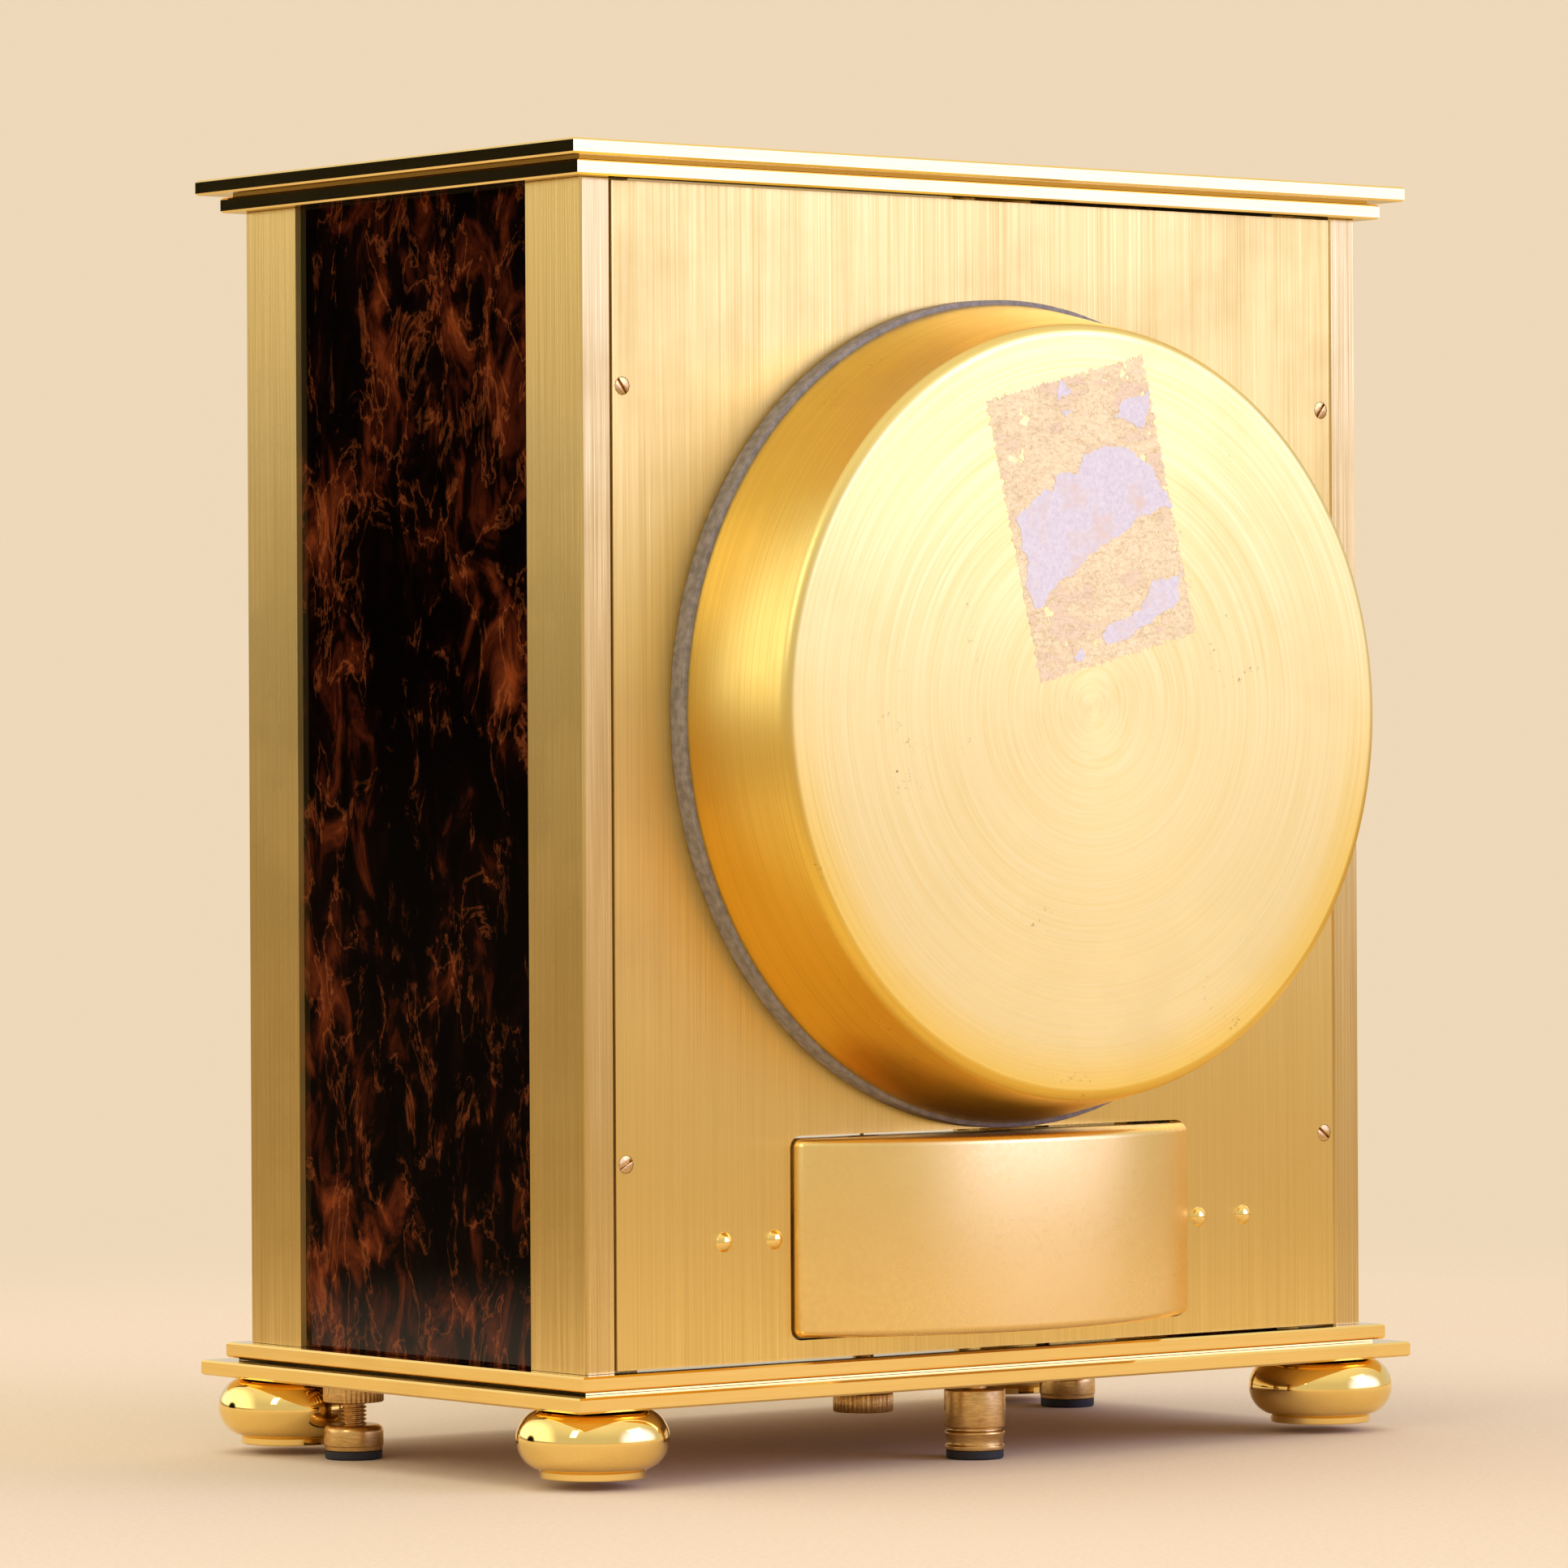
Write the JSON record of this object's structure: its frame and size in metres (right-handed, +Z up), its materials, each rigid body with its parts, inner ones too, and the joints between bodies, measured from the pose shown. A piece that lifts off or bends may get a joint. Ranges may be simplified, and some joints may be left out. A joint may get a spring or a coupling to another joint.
{
  "type": "atmospheric clock",
  "caption": "Atmospheric table clock: stepped brass case with dark lacquered sides, glazed front door, annular torsion balance and a round bellows cover at the back.",
  "frame": {"origin": "under the middle of the whole clock's box, on the plane that its three rubber-shod feet stand on", "axes": "+Z up, -Y out of the glazed front, +Y out of the back, +X to the right seen from the front"},
  "size_m": [0.1908, 0.132, 0.2252],
  "materials": {
    "satin_brass": "satin, brushed",
    "polished_brass": "mirror polished",
    "aged_brass": "turned and tarnished",
    "pale_gilt": "fine satin gilt",
    "steel": "fine brushed",
    "dark_lacquer": "high gloss, mottled",
    "grey_rubber": "matt, open edge",
    "black_rubber": "matt",
    "clear_glass": "clear"
  },
  "bodies": {
    "case": {"top_plate": "satin_brass", "cornice_plate": "satin_brass", "base_step_plate": "satin_brass", "base_plate": "satin_brass", "front_post_left": "satin_brass", "front_post_right": "satin_brass", "back_post_left": "satin_brass", "back_post_right": "satin_brass", "side_panel_left": "dark_lacquer", "side_panel_right": "dark_lacquer", "back_panel": "satin_brass", "panel_screw_1": "aged_brass", "panel_screw_2": "aged_brass", "panel_screw_3": "aged_brass", "panel_screw_4": "aged_brass", "drum_gasket": "grey_rubber", "drum_cover": "satin_brass", "balance_cover": "satin_brass", "bun_foot_front_left": "polished_brass", "bun_foot_front_right": "polished_brass", "bun_foot_back_left": "polished_brass", "bun_foot_back_right": "polished_brass", "rear_foot": "aged_brass", "rear_foot_pad": "black_rubber", "movement_front_plate": "pale_gilt", "movement_back_plate": "pale_gilt", "movement_stand_left": "pale_gilt", "movement_stand_right": "pale_gilt", "spring_bridge": "aged_brass", "suspension_bracket": "aged_brass", "dial_ring": "pale_gilt", "bellows": "satin_brass", "return_spring": "steel", "winding_chain": "steel"},
    "door": {"door_frame": "satin_brass", "door_glass": "clear_glass", "door_knob": "polished_brass"},
    "levelling_foot_left": {"levelling_screw_left": "aged_brass", "levelling_pad_left": "black_rubber"},
    "levelling_nut_left": {"levelling_nut_left": "aged_brass"},
    "levelling_foot_right": {"levelling_screw_right": "aged_brass", "levelling_pad_right": "black_rubber"},
    "levelling_nut_right": {"levelling_nut_right": "aged_brass"},
    "lock_pad": {"balance_lock_pad": "aged_brass"},
    "lock_knob": {"balance_lock_knob": "aged_brass"},
    "balance": {"balance": "pale_gilt", "torsion_wire": "steel"},
    "minute_hand": {"centre_wheel": "pale_gilt", "minute_hand": "steel", "hand_nut": "polished_brass"},
    "hour_hand": {"hour_wheel": "pale_gilt", "hour_hand": "steel"},
    "minute_wheel": {"minute_wheel": "pale_gilt"},
    "barrel": {"mainspring_barrel": "pale_gilt"},
    "escape_wheel": {"escape_wheel": "pale_gilt"},
    "pallets": {"pallet_fork": "steel"},
    "bellows_plate": {"bellows_plate": "pale_gilt"},
    "winding_drum": {"winding_drum": "aged_brass"},
    "chain_roller": {"chain_roller": "steel"}
  },
  "joints": [
    {"name": "door_hinge", "type": "hinge", "parent": "case", "child": "door", "pos_m": [-0.0793, -0.05647, 0.11935], "axis": [0, 0, -1], "range_deg": [0, 90]},
    {"name": "minute_hand_turn", "type": "hinge", "parent": "case", "child": "minute_hand", "pos_m": [0, -0.02863, 0.13135], "axis": [0, 1, 0], "continuous": true},
    {"name": "hour_hand_turn", "type": "hinge", "parent": "case", "child": "hour_hand", "pos_m": [0, -0.03562, 0.13135], "axis": [0, 1, 0], "continuous": true},
    {"name": "minute_wheel_turn", "type": "hinge", "parent": "case", "child": "minute_wheel", "pos_m": [0.00964, -0.03463, 0.11986], "axis": [0, 1, 0], "continuous": true},
    {"name": "barrel_turn", "type": "hinge", "parent": "case", "child": "barrel", "pos_m": [-0.02255, -0.01963, 0.12314], "axis": [0, 1, 0], "continuous": true},
    {"name": "escape_wheel_turn", "type": "hinge", "parent": "case", "child": "escape_wheel", "pos_m": [0.01543, -0.01963, 0.14974], "axis": [0, 1, 0], "continuous": true},
    {"name": "pallet_rock", "type": "hinge", "parent": "case", "child": "pallets", "pos_m": [0.02941, -0.01963, 0.15781], "axis": [0, 1, 0], "range_deg": [-3, 3]},
    {"name": "balance_swing", "type": "hinge", "parent": "case", "child": "balance", "pos_m": [0, 0.00588, 0.07935], "axis": [0, 0, 1], "range_deg": [-270, 270], "stiffness_Nm_per_rad": 0.000005},
    {"name": "bellows_slide", "type": "slide", "parent": "case", "child": "bellows_plate", "axis": [0, -1, 0], "range_m": [-0.002, 0.002], "stiffness_N_per_m": 3000, "deforming": ["bellows", "return_spring", "winding_chain"]},
    {"name": "winding_drum_turn", "type": "hinge", "parent": "case", "child": "winding_drum", "pos_m": [-0.02255, -0.00122, 0.12314], "axis": [0, 1, 0], "range_deg": [-25, 25]},
    {"name": "chain_roller_turn", "type": "hinge", "parent": "case", "child": "chain_roller", "pos_m": [-0.00595, 0.00208, 0.12975], "axis": [0, 0, 1], "range_deg": [-40, 40]},
    {"name": "levelling_nut_left_turn", "type": "hinge", "parent": "case", "child": "levelling_nut_left", "pos_m": [-0.0821, -0.03453, 0.0125], "axis": [0, 0, -1], "range_deg": [-730, 1450]},
    {"name": "levelling_foot_left_slide", "type": "slide", "parent": "case", "child": "levelling_foot_left", "axis": [0, 0, -1], "range_m": [-0.0014, 0.0028]},
    {"name": "levelling_nut_right_turn", "type": "hinge", "parent": "case", "child": "levelling_nut_right", "pos_m": [0.0821, -0.03453, 0.0125], "axis": [0, 0, -1], "range_deg": [-730, 1450]},
    {"name": "levelling_foot_right_slide", "type": "slide", "parent": "case", "child": "levelling_foot_right", "axis": [0, 0, -1], "range_m": [-0.0014, 0.0028]},
    {"name": "balance_lock_turn", "type": "hinge", "parent": "lock_pad", "child": "lock_knob", "pos_m": [0, 0.00588, 0.00835], "axis": [0, 0, 1], "range_deg": [-5, 905]},
    {"name": "balance_lock_lift", "type": "slide", "parent": "case", "child": "lock_pad", "axis": [0, 0, 1], "range_m": [0, 0.0025]}
  ],
  "couplings": [
    {"joint": "hour_hand_turn", "follows": "minute_hand_turn", "ratio": 0.083333},
    {"joint": "minute_wheel_turn", "follows": "minute_hand_turn", "ratio": -0.33333},
    {"joint": "barrel_turn", "follows": "minute_hand_turn", "ratio": -0.25},
    {"joint": "escape_wheel_turn", "follows": "minute_hand_turn", "ratio": -4},
    {"joint": "winding_drum_turn", "follows": "bellows_slide", "rad_per_m": -158.52},
    {"joint": "chain_roller_turn", "follows": "bellows_slide", "rad_per_m": -333.33},
    {"joint": "levelling_nut_left_turn", "follows": "levelling_foot_left_slide", "rad_per_m": 8976},
    {"joint": "levelling_nut_right_turn", "follows": "levelling_foot_right_slide", "rad_per_m": 8976},
    {"joint": "balance_lock_turn", "follows": "balance_lock_lift", "rad_per_m": 6283.2}
  ]
}
